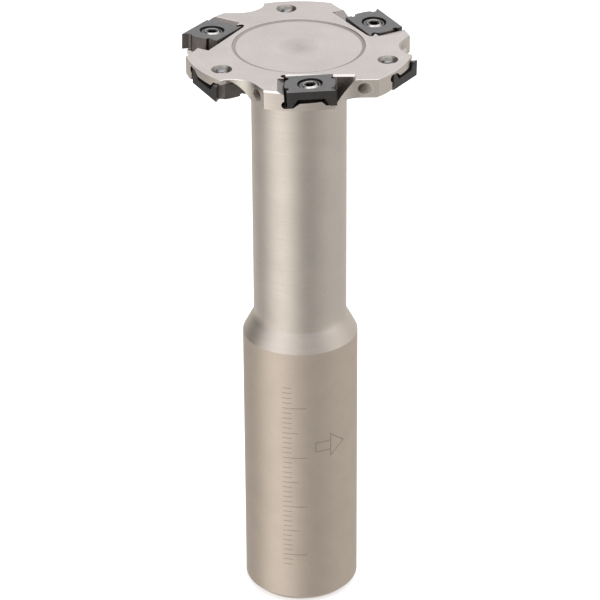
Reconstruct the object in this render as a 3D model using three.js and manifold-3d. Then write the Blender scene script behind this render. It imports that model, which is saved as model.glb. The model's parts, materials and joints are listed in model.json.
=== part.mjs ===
// A shank-type slotting cutter: a turned steel body whose thin disc head carries six indexable
// inserts, each held by one screw and set alternately from above and from below.
// Millimetres. Z = 0 is the shank's end face and +Z runs up the tool axis to the head.
//
// Every insert station is drawn once, at the front of the disc, where x runs the way the rim
// cuts and -y runs outwards. It is then turned about the tool axis, and mirrored through the
// disc's mid-plane for the stations that are set from below.

import * as THREE from 'three';
import { mergeVertices } from 'three/addons/utils/BufferGeometryUtils.js';
import Module from 'manifold-3d';

const wasm = await Module();
wasm.setup();

// Shank, a 20 mm side-lock pattern with one clamping flat
const SHANK_RADIUS = 10;
const SHANK_LENGTH = 50.6;
const SHANK_CHAMFER = 1.1;
const FLAT_FROM_AXIS = 8.2;
const FLAT_LENGTH = 11;
const FLAT_CENTRE = 25;

// Cone and neck
const NECK_RADIUS = 8.05;
const CONE_HALF_ANGLE = THREE.MathUtils.degToRad(27.5);
const CONE_BLEND_RADIUS = 3;
const NECK_FILLET = 0.7;

// Disc head
const DISC_BOTTOM = 100.8;
const DISC_TOP = 104.1;
const DISC_RADIUS = 19.15;
const RIM_BREAK = 0.1;
const RIM_CHAMFER = 0.3;
const RECESS_RADIUS = 11.15;
const RECESS_EDGE_WIDTH = 0.6;
const RECESS_DEPTH = 0.2;

// Coolant: a stepped bore up the axis, and one hole from each gullet into its end
const BORE_RADIUS = 3.5;
const BORE_CHAMFER = 0.5;
const BORE_LENGTH = 90;
const FEED_RADIUS = 2;
const FEED_END = 101.8;
const DRILL_POINT = THREE.MathUtils.degToRad(59);
const JET_RADIUS = 1;

// Stations, inserts and their cutting circle
const STATIONS = 6;
const CUTTING_RADIUS = 20;
const CUTTING_WIDTH = 4;
const INSERT_LENGTH = 8.6;
const INSERT_LEAD = 6.08;
const INSERT_BREADTH = 6.6;
const INSERT_THICKNESS = 2.7;
// Each insert leans back from its cutting corner, which gives its side clearance
const INSERT_TILT = THREE.MathUtils.degToRad(3);
// The leading end seen from above, as [inwards from the cutting corner, back from it]: a chip
// groove behind the corner, a bulge, and a notch before the inner corner
const INSERT_END = [
  [0, 0], [0.85, 0.8], [1.25, 0.85], [1.8, 0.3], [2.7, 0.15], [4, 0.15],
  [4.65, 0.25], [4.8, 0.8], [5.4, 0.85], [5.6, 0.5], [6.6, 0.5],
];
const INSERT_BULGE = 0.15;
const BRIDGE_HEIGHT = 1.4;
const BRIDGE_TOP = [-0.2, 4.1];
const BRIDGE_FOOT = [-1.25, 4.9];

// Pocket that seats an insert, and the gullet ahead of it
const SEAT_GAP = 0.3;
const RIDGE_HEIGHT = 0.85;
const RIDGE_TOP = [0, 3.6];
const RIDGE_FOOT = [-1.15, 4.3];
const CORNER_RELIEF = 0.65;
const CORNER_RELIEF_CENTRE = [0.2, 0.6];
const UPRIGHT_RELIEF = 0.55;
const UPRIGHT_RELIEF_CENTRE = [0.1, 0.35];
const WALL_BEVEL_WIDTH = 1.05;
const WALL_BEVEL_DEPTH = 0.5;
const INNER_CHAMFER = 0.3;
const SCOOP_DEPTH = 3;
const SCOOP_FOOT = 6.2;
const SCOOP_EDGE = 6;
const GULLET_EDGE = 5.9;
const GULLET_RADIUS = 4.7;
const GULLET_CENTRE = [10.4, 18.75];
const JET_OFFSET = 10.8;

// Screw, M2.2 with a conical head and a six-lobe socket, and the holes that take it
const SCREW_RADIUS = 1;
const SCREW_LENGTH = 3.3;
const TIP_CHAMFER = 0.2;
const HEAD_RADIUS = 1.65;
const HEAD_RIM = 0.25;
const HEAD_CONE = 0.95;
const HEAD_SINK = 0.12;
const SOCKET_RADIUS = 0.78;
const SOCKET_LOBE = 0.12;
const SOCKET_DEPTH = 0.7;
const SINK_RADIUS = 2.05;
const SINK_DEPTH = 1.1;
const THREAD_MOUTH_RADIUS = 1.65;

const MID_PLANE = (DISC_BOTTOM + DISC_TOP) / 2;
const INSERT_TOP = MID_PLANE + CUTTING_WIDTH / 2;
const INSERT_TRAIL = INSERT_LEAD - INSERT_LENGTH;
const INSERT_OUTER = Math.sqrt(CUTTING_RADIUS ** 2 - INSERT_LEAD ** 2);
const INSERT_INNER = INSERT_OUTER - INSERT_BREADTH;
const INSERT_FOOT = INSERT_TOP - INSERT_THICKNESS;
const SEAT_FLOOR = INSERT_FOOT - SEAT_GAP;
const TRAILING_WALL = INSERT_TRAIL + INSERT_BULGE - SEAT_GAP;
const INNER_WALL = INSERT_INNER - SEAT_GAP;
const SCREW_X = (INSERT_LEAD + INSERT_TRAIL) / 2;
const SCREW_Y = -(INSERT_OUTER + INSERT_INNER) / 2;
const CLEAR = 1;

// Facets round a full turn
const ROUND_STEPS = 80;
const BORE_STEPS = 32;
const HOLE_STEPS = 16;
const LOBE_STEPS = 24;

const steel = { color: 0xcfc6ba, metalness: 0.9, roughness: 0.38 };
const coatedCarbide = { color: 0x55524f, metalness: 0.6, roughness: 0.5 };
const darkSteel = { color: 0x45423f, metalness: 0.85, roughness: 0.35 };

// A closed three.js geometry as a solid, moved by a matrix first. A mirroring matrix turns the
// triangles inside out, so their order is swapped back.
function solid(geometry, matrix = new THREE.Matrix4()) {
  const bare = geometry.clone();
  bare.deleteAttribute('normal');
  bare.deleteAttribute('uv');
  bare.applyMatrix4(matrix);
  const merged = mergeVertices(bare, 1e-5);
  const mirrored = matrix.determinant() < 0;
  const corners = merged.index.array;
  const triVerts = [];
  for (let i = 0; i < corners.length; i += 3) {
    const [a, b, c] = corners.slice(i, i + 3);
    if (a === b || b === c || c === a) continue;
    triVerts.push(...(mirrored ? [a, c, b] : [a, b, c]));
  }
  const vertProperties = Float32Array.from(merged.attributes.position.array);
  const mesh = new wasm.Mesh({ numProp: 3, vertProperties, triVerts: Uint32Array.from(triVerts) });
  return new wasm.Manifold(mesh);
}

function geometryOf(body) {
  const { vertProperties, triVerts } = body.getMesh();
  const geometry = new THREE.BufferGeometry();
  geometry.setAttribute('position', new THREE.BufferAttribute(vertProperties, 3));
  geometry.setIndex(new THREE.BufferAttribute(triVerts, 1));
  return geometry;
}

function namedMesh(name, body, finish) {
  const flatFaced = geometryOf(body).toNonIndexed();
  flatFaced.computeVertexNormals();
  const mesh = new THREE.Mesh(flatFaced, new THREE.MeshStandardMaterial(finish));
  mesh.name = name;
  return mesh;
}

// Points of an arc, both ends included
function arc(x, y, radius, from, to, steps) {
  return Array.from({ length: steps + 1 }, (_, i) => {
    const angle = from + ((to - from) * i) / steps;
    return [x + radius * Math.cos(angle), y + radius * Math.sin(angle)];
  });
}

function extruded(outline, depth) {
  const shape = new THREE.Shape(outline.map(([x, y]) => new THREE.Vector2(x, y)));
  return new THREE.ExtrudeGeometry(shape, { depth, bevelEnabled: false });
}

// Extrudes an outline drawn in x and z, outwards along -y, from a distance off the tool axis
function extrudedOutwards(outline, from, depth) {
  return extruded(outline, depth).rotateX(Math.PI / 2).translate(0, -from, 0);
}

// Extrudes an outline drawn in x and distance off the axis, upwards along z
function extrudedUpwards(outline, bottom, depth) {
  return extruded(outline.map(([x, out]) => [x, -out]), depth).translate(0, 0, bottom);
}

// Turns a profile of [radius, z] points about the z axis
function turned(profile, segments) {
  const points = profile.map(([radius, z]) => new THREE.Vector2(radius, z));
  return new THREE.LatheGeometry(points, segments).rotateX(Math.PI / 2);
}

// Where a station sits: turned about the tool axis, and mirrored if it is set from below
function stationMatrix(index) {
  const turn = new THREE.Matrix4().makeRotationZ((index * 2 * Math.PI) / STATIONS);
  if (index % 2 === 0) return turn;
  const mirror = new THREE.Matrix4().makeScale(1, 1, -1);
  return turn.multiply(new THREE.Matrix4().makeTranslation(0, 0, 2 * MID_PLANE)).multiply(mirror);
}

// Where the seat of a station sits: its place, leaning back about the insert's cutting corner
function seatMatrix(index) {
  const pivot = new THREE.Matrix4().makeTranslation(INSERT_LEAD, 0, INSERT_TOP);
  const lean = new THREE.Matrix4().makeRotationY(-INSERT_TILT);
  return stationMatrix(index).multiply(pivot).multiply(lean).multiply(pivot.clone().invert());
}

// The turned blank: shank, cone, neck and disc, with the shallow round recess in its top face
function blankProfile() {
  const blendTangent = CONE_BLEND_RADIUS * Math.tan(CONE_HALF_ANGLE / 2);
  const coneEnd = SHANK_LENGTH + (SHANK_RADIUS - NECK_RADIUS) / Math.tan(CONE_HALF_ANGLE);
  const blendTop = coneEnd + blendTangent;
  const blendOut = NECK_RADIUS + CONE_BLEND_RADIUS;
  return [
    [0, 0],
    [SHANK_RADIUS - SHANK_CHAMFER, 0],
    [SHANK_RADIUS, SHANK_CHAMFER],
    [SHANK_RADIUS, SHANK_LENGTH],
    ...arc(blendOut, blendTop, CONE_BLEND_RADIUS, Math.PI + CONE_HALF_ANGLE, Math.PI, 4),
    ...arc(NECK_RADIUS + NECK_FILLET, DISC_BOTTOM - NECK_FILLET, NECK_FILLET, Math.PI, Math.PI / 2, 4),
    [DISC_RADIUS - RIM_BREAK, DISC_BOTTOM],
    [DISC_RADIUS, DISC_BOTTOM + RIM_BREAK],
    [DISC_RADIUS, DISC_TOP - RIM_BREAK],
    [DISC_RADIUS - RIM_BREAK, DISC_TOP],
    [RECESS_RADIUS, DISC_TOP],
    [RECESS_RADIUS - RECESS_EDGE_WIDTH, DISC_TOP - RECESS_DEPTH],
    [0, DISC_TOP - RECESS_DEPTH],
  ];
}

function coolantBore() {
  return turned([
    [0, -CLEAR],
    [BORE_RADIUS + BORE_CHAMFER + CLEAR, -CLEAR],
    [BORE_RADIUS, BORE_CHAMFER],
    [BORE_RADIUS, BORE_LENGTH],
    [FEED_RADIUS, BORE_LENGTH + (BORE_RADIUS - FEED_RADIUS) / Math.tan(DRILL_POINT)],
    [FEED_RADIUS, FEED_END],
    [0, FEED_END + FEED_RADIUS / Math.tan(DRILL_POINT)],
  ], BORE_STEPS);
}

function clampingFlat() {
  const depth = SHANK_RADIUS - FLAT_FROM_AXIS + CLEAR;
  return new THREE.BoxGeometry(2 * SHANK_RADIUS, depth, FLAT_LENGTH)
    .translate(0, FLAT_FROM_AXIS + depth / 2, FLAT_CENTRE);
}

// The pocket, seen along the radius: trailing wall, floor, and the low ridge under the insert's
// bridge. It is open at the leading end, where it runs into the gullet.
function pocketCut() {
  const ridgeTop = SEAT_FLOOR + RIDGE_HEIGHT;
  const lid = INSERT_TOP + CLEAR;
  return extrudedOutwards([
    [TRAILING_WALL, lid],
    [TRAILING_WALL, SEAT_FLOOR],
    [RIDGE_FOOT[0], SEAT_FLOOR],
    [RIDGE_TOP[0], ridgeTop],
    [RIDGE_TOP[1], ridgeTop],
    [RIDGE_FOOT[1], SEAT_FLOOR],
    [SCOOP_FOOT, SEAT_FLOOR],
    [SCOOP_FOOT, lid],
  ], INNER_WALL, DISC_RADIUS);
}

// Bevel along the top of the pocket's trailing wall, from just outside the inner corner
function wallBevelCut() {
  const top = TRAILING_WALL - WALL_BEVEL_WIDTH;
  const past = TRAILING_WALL + SEAT_GAP;
  return extrudedOutwards([
    [top, DISC_TOP],
    [TRAILING_WALL, DISC_TOP - WALL_BEVEL_DEPTH],
    [past, DISC_TOP - WALL_BEVEL_DEPTH],
    [past, DISC_TOP + CLEAR],
    [top, DISC_TOP + CLEAR],
  ], INSERT_INNER + WALL_BEVEL_WIDTH, DISC_RADIUS);
}

// Small chamfer along the top of the pocket's inner wall
function innerChamferCut() {
  const length = INSERT_LENGTH + SCOOP_DEPTH - SEAT_GAP;
  const past = INNER_WALL + INNER_CHAMFER;
  const outline = [
    [INNER_WALL - INNER_CHAMFER, DISC_TOP],
    [INNER_WALL, DISC_TOP - INNER_CHAMFER],
    [past, DISC_TOP - INNER_CHAMFER],
    [past, DISC_TOP + CLEAR],
    [INNER_WALL - INNER_CHAMFER, DISC_TOP + CLEAR],
  ];
  return extruded(outline, length)
    .applyMatrix4(new THREE.Matrix4().makeBasis(
      new THREE.Vector3(0, -1, 0),
      new THREE.Vector3(0, 0, 1),
      new THREE.Vector3(-1, 0, 0),
    ))
    .translate(INSERT_TRAIL + length, 0, 0);
}

// Round relief along the foot of the trailing wall, and an upright one in the inner corner
function cornerReliefCuts() {
  const [across, up] = CORNER_RELIEF_CENTRE;
  const [along, out] = UPRIGHT_RELIEF_CENTRE;
  const alongFoot = extrudedOutwards(
    arc(INSERT_TRAIL + across, SEAT_FLOOR + up, CORNER_RELIEF, 0, 2 * Math.PI, 16).slice(1),
    INNER_WALL,
    DISC_RADIUS,
  );
  const upright = extrudedUpwards(
    arc(INSERT_TRAIL + along, INNER_WALL + out, UPRIGHT_RELIEF, 0, 2 * Math.PI, 12).slice(1),
    SEAT_FLOOR,
    INSERT_THICKNESS + CLEAR,
  );
  return [alongFoot, upright];
}

// Trough ahead of the insert: a slope at 45 degrees that the chips slide up
function scoopCut() {
  return extrudedOutwards([
    [SCOOP_EDGE, DISC_TOP + CLEAR],
    [SCOOP_EDGE, DISC_TOP - SCOOP_DEPTH],
    [SCOOP_FOOT, DISC_TOP - SCOOP_DEPTH],
    [SCOOP_FOOT + SCOOP_DEPTH + CLEAR, DISC_TOP + CLEAR],
  ], INNER_WALL, DISC_RADIUS);
}

// Gullet: a notch right through the disc, round behind the insert's lead and flat beyond it
function gulletCut() {
  const [x, out] = GULLET_CENTRE;
  const start = Math.PI + Math.acos((x - GULLET_EDGE) / GULLET_RADIUS);
  const reach = DISC_RADIUS + 2 * CLEAR;
  return extrudedUpwards([
    [GULLET_EDGE, reach],
    ...arc(x, out, GULLET_RADIUS, start, 1.5 * Math.PI, 10),
    [reach, out - GULLET_RADIUS],
    [reach, reach],
  ], DISC_BOTTOM - CLEAR, DISC_TOP - DISC_BOTTOM + 2 * CLEAR);
}

// Coolant jet: a straight hole from the gullet's flat to the bore on the tool axis
function jetCut() {
  const out = GULLET_CENTRE[1] - GULLET_RADIUS;
  const length = Math.hypot(JET_OFFSET, out) + CLEAR;
  return new THREE.CylinderGeometry(JET_RADIUS, JET_RADIUS, length, HOLE_STEPS)
    .translate(0, -length / 2, 0)
    .rotateZ(Math.atan2(JET_OFFSET, out))
    .translate(0, 0, MID_PLANE);
}

// Tapped hole for the screw, through the ridge and the web, with a countersunk far mouth
function threadCut() {
  const radius = SCREW_RADIUS + SEAT_GAP;
  const mouth = DISC_BOTTOM + (INSERT_LEAD - SCREW_X) * Math.sin(INSERT_TILT);
  return turned([
    [0, mouth - CLEAR],
    [THREAD_MOUTH_RADIUS + CLEAR, mouth - CLEAR],
    [radius, mouth + THREAD_MOUTH_RADIUS - radius],
    [radius, INSERT_TOP],
    [0, INSERT_TOP],
  ], HOLE_STEPS).translate(SCREW_X, SCREW_Y, 0);
}

// Chamfer on the rim behind the insert, on the side that the insert is set from
function rimChamferCut() {
  const ring = turned([
    [DISC_RADIUS - RIM_CHAMFER, DISC_TOP],
    [DISC_RADIUS + CLEAR, DISC_TOP - RIM_CHAMFER - CLEAR],
    [DISC_RADIUS + CLEAR, DISC_TOP + CLEAR],
    [DISC_RADIUS - RIM_CHAMFER, DISC_TOP + CLEAR],
    [DISC_RADIUS - RIM_CHAMFER, DISC_TOP],
  ], ROUND_STEPS);
  const width = 5;
  const sector = new THREE.BoxGeometry(width, width, width)
    .translate(TRAILING_WALL - width / 2, -DISC_RADIUS, DISC_TOP);
  return { ring, sector };
}

function makeBody() {
  let body = solid(turned(blankProfile(), ROUND_STEPS));
  body = body.subtract(solid(coolantBore()));
  body = body.subtract(solid(clampingFlat()));
  for (let index = 0; index < STATIONS; index += 1) {
    const place = stationMatrix(index);
    const seat = seatMatrix(index);
    const leaning = [pocketCut(), ...cornerReliefCuts(), threadCut()];
    const upright = [wallBevelCut(), innerChamferCut(), scoopCut(), gulletCut(), jetCut()];
    for (const cut of leaning) body = body.subtract(solid(cut, seat));
    for (const cut of upright) body = body.subtract(solid(cut, place));
    const { ring, sector } = rimChamferCut();
    body = body.subtract(solid(ring, place).intersect(solid(sector, place)));
  }
  return body;
}

// Outline of an insert seen from above: both ends alike, turned half a turn about the screw
function insertOutline() {
  const halfLength = INSERT_LENGTH / 2;
  const halfBreadth = INSERT_BREADTH / 2;
  const leading = INSERT_END.map(([inwards, back]) => [halfLength - back, halfBreadth - inwards]);
  const trailing = leading.map(([x, out]) => [-x, -out]);
  return [...leading, ...trailing].map(([x, out]) => [SCREW_X + x, out - SCREW_Y]);
}

// An insert: its outline pushed through its height, bridged underneath so that it stands on
// two feet, with a countersunk hole for the screw
function makeInsert(place) {
  const plan = extrudedUpwards(insertOutline(), INSERT_FOOT - CLEAR, INSERT_THICKNESS + 2 * CLEAR);
  const side = extrudedOutwards([
    [INSERT_TRAIL - CLEAR, INSERT_TOP],
    [INSERT_TRAIL - CLEAR, INSERT_FOOT],
    [BRIDGE_FOOT[0], INSERT_FOOT],
    [BRIDGE_TOP[0], INSERT_TOP - BRIDGE_HEIGHT],
    [BRIDGE_TOP[1], INSERT_TOP - BRIDGE_HEIGHT],
    [BRIDGE_FOOT[1], INSERT_FOOT],
    [INSERT_LEAD + CLEAR, INSERT_FOOT],
    [INSERT_LEAD + CLEAR, INSERT_TOP],
  ], INSERT_INNER - CLEAR, INSERT_BREADTH + 2 * CLEAR);
  const radius = SCREW_RADIUS + SEAT_GAP;
  const hole = turned([
    [0, INSERT_FOOT],
    [radius, INSERT_FOOT],
    [radius, INSERT_TOP - SINK_DEPTH],
    [SINK_RADIUS, INSERT_TOP],
    [SINK_RADIUS, INSERT_TOP + CLEAR],
    [0, INSERT_TOP + CLEAR],
  ], LOBE_STEPS).translate(SCREW_X, SCREW_Y, 0);
  return solid(plan, place).intersect(solid(side, place)).subtract(solid(hole, place));
}

// A screw on its own axis, its head's rim at z = 0 and its tip below
function makeScrew() {
  const shankTop = -HEAD_RIM - HEAD_CONE;
  const screw = solid(turned([
    [0, -SCREW_LENGTH],
    [SCREW_RADIUS - TIP_CHAMFER, -SCREW_LENGTH],
    [SCREW_RADIUS, -SCREW_LENGTH + TIP_CHAMFER],
    [SCREW_RADIUS, shankTop],
    [HEAD_RADIUS, -HEAD_RIM],
    [HEAD_RADIUS, 0],
    [0, 0],
  ], HOLE_STEPS));
  const lobes = Array.from({ length: LOBE_STEPS }, (_, i) => {
    const angle = (i * 2 * Math.PI) / LOBE_STEPS;
    const radius = SOCKET_RADIUS + SOCKET_LOBE * Math.cos(6 * angle);
    return [radius * Math.cos(angle), radius * Math.sin(angle)];
  });
  return screw.subtract(solid(extruded(lobes, SOCKET_DEPTH + CLEAR).translate(0, 0, -SOCKET_DEPTH)));
}

const tool = new THREE.Group();
tool.add(namedMesh('cutter_body', makeBody(), steel));

const screw = makeScrew();
const headHeight = INSERT_TOP - HEAD_SINK;
for (let index = 0; index < STATIONS; index += 1) {
  const number = index + 1;
  const fromBelow = index % 2 === 1;
  tool.add(namedMesh(`insert_${number}`, makeInsert(seatMatrix(index)), coatedCarbide));
  const fastener = namedMesh(`insert_screw_${number}`, screw, darkSteel);
  fastener.position.set(SCREW_X, SCREW_Y, headHeight).applyMatrix4(seatMatrix(index));
  const turn = new THREE.Quaternion().setFromAxisAngle(
    new THREE.Vector3(0, 0, 1),
    (index * 2 * Math.PI) / STATIONS,
  );
  const lean = new THREE.Quaternion().setFromAxisAngle(
    new THREE.Vector3(0, 1, 0),
    fromBelow ? Math.PI + INSERT_TILT : -INSERT_TILT,
  );
  fastener.quaternion.copy(turn.multiply(lean));
  tool.add(fastener);
}

export default tool;
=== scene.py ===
"""Disc milling cutter on a 20 mm shank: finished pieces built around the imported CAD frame."""
import json
import math

import bmesh
import bpy
from mathutils import Matrix, Vector

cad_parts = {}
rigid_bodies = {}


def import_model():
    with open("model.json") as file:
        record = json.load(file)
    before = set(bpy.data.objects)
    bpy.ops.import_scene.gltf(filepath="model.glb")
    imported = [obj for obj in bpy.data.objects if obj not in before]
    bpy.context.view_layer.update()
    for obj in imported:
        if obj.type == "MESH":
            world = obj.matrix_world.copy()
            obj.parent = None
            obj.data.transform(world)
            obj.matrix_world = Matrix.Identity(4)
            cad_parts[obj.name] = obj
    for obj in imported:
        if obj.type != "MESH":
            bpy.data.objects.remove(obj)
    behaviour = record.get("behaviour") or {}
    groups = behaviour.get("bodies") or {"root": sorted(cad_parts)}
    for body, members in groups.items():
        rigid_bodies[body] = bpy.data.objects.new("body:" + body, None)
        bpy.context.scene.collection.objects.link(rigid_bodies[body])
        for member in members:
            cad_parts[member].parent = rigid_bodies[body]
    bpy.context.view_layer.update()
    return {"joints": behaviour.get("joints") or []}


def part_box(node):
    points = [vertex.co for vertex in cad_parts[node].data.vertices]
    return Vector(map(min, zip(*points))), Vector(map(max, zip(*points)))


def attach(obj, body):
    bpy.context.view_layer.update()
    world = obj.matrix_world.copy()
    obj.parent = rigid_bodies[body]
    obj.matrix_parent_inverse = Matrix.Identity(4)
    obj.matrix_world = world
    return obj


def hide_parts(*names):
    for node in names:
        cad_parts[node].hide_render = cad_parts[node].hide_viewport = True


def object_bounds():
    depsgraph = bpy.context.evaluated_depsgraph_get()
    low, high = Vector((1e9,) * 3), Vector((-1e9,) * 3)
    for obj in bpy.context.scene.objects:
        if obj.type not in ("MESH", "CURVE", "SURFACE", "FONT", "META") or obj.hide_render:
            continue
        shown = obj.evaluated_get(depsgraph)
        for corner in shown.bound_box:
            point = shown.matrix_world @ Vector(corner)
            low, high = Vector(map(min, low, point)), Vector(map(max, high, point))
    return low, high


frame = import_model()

MM = 0.001
UP = Vector((0, 0, 1))

# Sizes in millimetres. The disc's heights and the seats' places come from the frame further down.
SHANK_RADIUS = 10
SHANK_LENGTH = 50.6
SHANK_CHAMFER = 1.1
FLAT_FROM_AXIS = 8.2
FLAT_LENGTH = 11
FLAT_CENTRE = 25
NECK_RADIUS = 8.05
CONE_ANGLE = math.radians(27.5)
CONE_BLEND = 3
CONE_HEIGHT = 4
NECK_FILLET = 0.7
RECESS_RADIUS = 11.15
RECESS_EDGE = 0.6
RECESS_DEPTH = 0.2
PIP_RADIUS = 2
PIP_DEPTH = 0.03
EDGE_BREAK = 0.06
RIM_CHAMFER = 0.3

# The fine steps on the turned disc. The wall and the groove hold (outwards, up) points: outwards
# from the recess's radius or from the step's inner edge, and up from the recess's floor. The pip
# holds shares of its radius and depth.
RIM_ROUND = 0.12
RIM_ROUND_MIDDLE = 0.035
LIP_WIDTH = 0.07
LIP_DROP = 0.03
RECESS_WALL = [(-0.05, 0.04), (-0.12, 0)]
RECESS_GROOVE = [(0.08, -0.04), (0.03, -0.03), (0, 0)]
PIP_STEPS = [(1, 0), (0.75, 0.5), (0.35, 1)]
PIP_CENTRE = 0.3

BORE_RADIUS = 3.5
BORE_CHAMFER = 0.5
BORE_LENGTH = 90
FEED_RADIUS = 2
FEED_END = 101.8
DRILL_POINT = math.radians(59)
JET_RADIUS = 1
JET_OFFSET = 10.8

# An insert on its own screw axis: x runs along it to the cutting end, y outwards
INSERT_LENGTH = 8.6
INSERT_BREADTH = 6.6
INSERT_THICKNESS = 2.7
INSERT_END = [
    (4.3, 3.3), (3.5, 2.45), (3.45, 2.05), (4.0, 1.5), (4.15, 0.6), (4.15, -0.7),
    (4.05, -1.35), (3.5, -1.5), (3.45, -2.1), (3.8, -2.3), (3.8, -3.3),
]
BRIDGE_HEIGHT = 1.4
BRIDGE_TOP = (-1.98, 2.32)
BRIDGE_FOOT = (-3.03, 3.12)
HOLE_RADIUS = 1.3
SINK_RADIUS = 2.08
SINK_RIM = 0.42
SINK_DEPTH = 1.3
INSERT_EDGE = 0.05
RAKE_REACH = 0.9

# How much of a face's normal points up or along for it to be a ground or a rake face
GROUND_NORMAL = 0.9
RAKE_NORMAL = 0.5

# The pocket, in the same axes, and the gullet ahead of it
GAP = 0.1
INNER_GAP = 0.2
RIDGE_HEIGHT = 0.75
RIDGE_TOP = (-1.78, 1.82)
RIDGE_FOOT = (-2.93, 2.52)
CORNER_RELIEF = 0.65
CORNER_PLACE = (0.2, 0.6)
UPRIGHT_RELIEF = 0.55
UPRIGHT_PLACE = (0.1, 0.35)
WALL_BEVEL_WIDTH = 1.05
WALL_BEVEL_DEPTH = 0.5
INNER_CHAMFER = 0.3
CHAMFER_START = 0.3
SCOOP_DEPTH = 3
SCOOP_FOOT = 6.2
SCOOP_EDGE = 6
GULLET_EDGE = 5.9
GULLET_RADIUS = 4.7
GULLET_CENTRE = (10.4, 18.75)
GULLET_CHAMFER = 0.1
RIM_CHAMFER_REACH = (-5, 0.3)

# M2.2 x 0.45 clamping screw, its top at z = 0
THREAD_RADIUS = 1.05
THREAD_DEPTH = 0.2
THREAD_PITCH = 0.45
THREAD_ROWS = 44
THREAD_CREST = 1.25
LEAD_IN_ROWS = 6
RUN_OUT_ROWS = 5
THREAD_CLEARANCE = 0.03
SCREW_LENGTH = 3.3
SCREW_TIP = 0.12
HEAD_NECK = 0.15
HEAD_RADIUS = 1.74
HEAD_RIM = 0.24
HEAD_CONE = 0.95
HEAD_SINK = 0.12
SOCKET_RADIUS = 0.76
SOCKET_LOBE = 0.13
SOCKET_MOUTH = 1.0
SOCKET_LIP = 0.05
SOCKET_DEPTH = 0.75
SOCKET_POINT = 0.12
# Where the head's top round the socket gets a painted highlight ring
HIGHLIGHT_RING_RADIUS = 1.42
HIGHLIGHT_RING_DEPTH = 0.3
MOUTH_RADIUS = 1.7

# The head's (radius, z) points from its rim over the stepped top to the socket, and the
# socket's, which also say how high its lobes are
HEAD_OUTLINE = [
    (HEAD_RADIUS - 0.03, -HEAD_RIM - 0.03), (HEAD_RADIUS, -HEAD_RIM), (HEAD_RADIUS, -0.17),
    (HEAD_RADIUS - 0.05, -0.12), (1.58, -0.12), (1.54, -0.15), (1.5, -0.34), (1.42, -0.34),
    (1.36, -0.28), (1.14, -0.04), (1.08, 0), (1.02, 0),
]
SOCKET_OUTLINE = [
    (0.97, -0.03, SOCKET_LOBE * 0.3), (SOCKET_RADIUS + SOCKET_LIP, -0.1, SOCKET_LOBE),
    (SOCKET_RADIUS, -0.16, SOCKET_LOBE), (SOCKET_RADIUS, -SOCKET_DEPTH, SOCKET_LOBE),
    (0.3, -SOCKET_DEPTH - 0.08, 0),
]

# Plain marks etched on the front of the shank: a depth scale, and an arrow for the turning way
LINE_WIDTH = 0.16
MARK_DARKNESS = 0.5
SCALE_SPAN = (8, 44)
SCALE_LEFT = -3.2
SCALE_TICKS = [(1, 1.6), (5, 2.8), (10, 4.2)]
ARROW_HEIGHT = 32
ARROW_ENDS = (2.6, 5.2, 7.4)
ARROW_SHAFT = 0.9
ARROW_TIP_GROWTH = 1.5

# Steps round each kind of curve
LATHE_STEPS = 240
SCREW_STEPS = 48
INSERT_HOLE_STEPS = 64
HOLE_STEPS = 40
RELIEF_STEPS = 32
UPRIGHT_STEPS = 28
RIM_STEPS = 24
GULLET_STEPS = 20
BLEND_STEPS = 12
FILLET_STEPS = 8

# How far a cut runs past what it cuts, and how little two cuts differ so that no faces coincide
PAST = 1
HAIR = 0.01

# Mesh tidying: lengths in millimetres, angles in degrees
MERGE_DISTANCE = 0.012
COLLAPSE_DISTANCE = 0.01
FLAT_WITHIN = 0.4
BEVEL_FROM = 24
SHARP_FROM = 32
SCREW_SHARP_FROM = 50

body_low, body_high = (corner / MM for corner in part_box("cutter_body"))
insert_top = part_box("insert_1")[1].z / MM
DISC_TOP = body_high.z
DISC_RADIUS = (body_high.y - body_low.y) / 2
MID_PLANE = (insert_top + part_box("insert_2")[0].z / MM) / 2
DISC_BOTTOM = 2 * MID_PLANE - DISC_TOP
INSERT_FOOT = insert_top - INSERT_THICKNESS
SEAT_FLOOR = INSERT_FOOT - GAP
screw_joints = [joint for joint in frame["joints"] if joint["type"] == "hinge"]
screw_places = [Vector(joint["pos_m"]) / MM for joint in screw_joints]

# The seat leans back about the insert's leading top edge, so the first screw's place is
# turned upright about that edge to find the insert's own place
TILT = math.asin(-screw_joints[0]["axis"][0])
screw_drop = (insert_top - INSERT_LENGTH / 2 * math.sin(TILT) - screw_places[0].z) / math.cos(TILT)
INSERT_LEAD = screw_places[0].x + INSERT_LENGTH / 2 * math.cos(TILT) - screw_drop * math.sin(TILT)
INSERT_TRAIL = INSERT_LEAD - INSERT_LENGTH
SCREW_X, SCREW_Y = (INSERT_LEAD + INSERT_TRAIL) / 2, screw_places[0].y
INSERT_INNER = -SCREW_Y - INSERT_BREADTH / 2
TRAILING_WALL = SCREW_X - max(x for x, y in INSERT_END[3:7]) - GAP
INNER_WALL = INSERT_INNER - INNER_GAP


# ---------------------------------------------------------------- shapes

def arc(x, y, radius, start, end, steps):
    angles = [start + (end - start) * i / steps for i in range(steps + 1)]
    return [(x + radius * math.cos(a), y + radius * math.sin(a)) for a in angles]


def grown(outline, distance):
    """The outline with every side moved outwards by a distance."""
    count = len(outline)
    area = 0
    for i in range(count):
        (x, y), (next_x, next_y) = outline[i - 1], outline[i]
        area += x * next_y - next_x * y
    side = 1 if area > 0 else -1
    points = []
    for i in range(count):
        before, here, after = (Vector(outline[j % count]) for j in (i - 1, i, i + 1))
        normals = []
        for a, b in ((before, here), (here, after)):
            along = (b - a).normalized()
            normals.append(Vector((along.y, -along.x)) * side)
        middle = (normals[0] + normals[1]).normalized()
        points.append(tuple(here + middle * (distance / middle.dot(normals[0]))))
    return points


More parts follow.
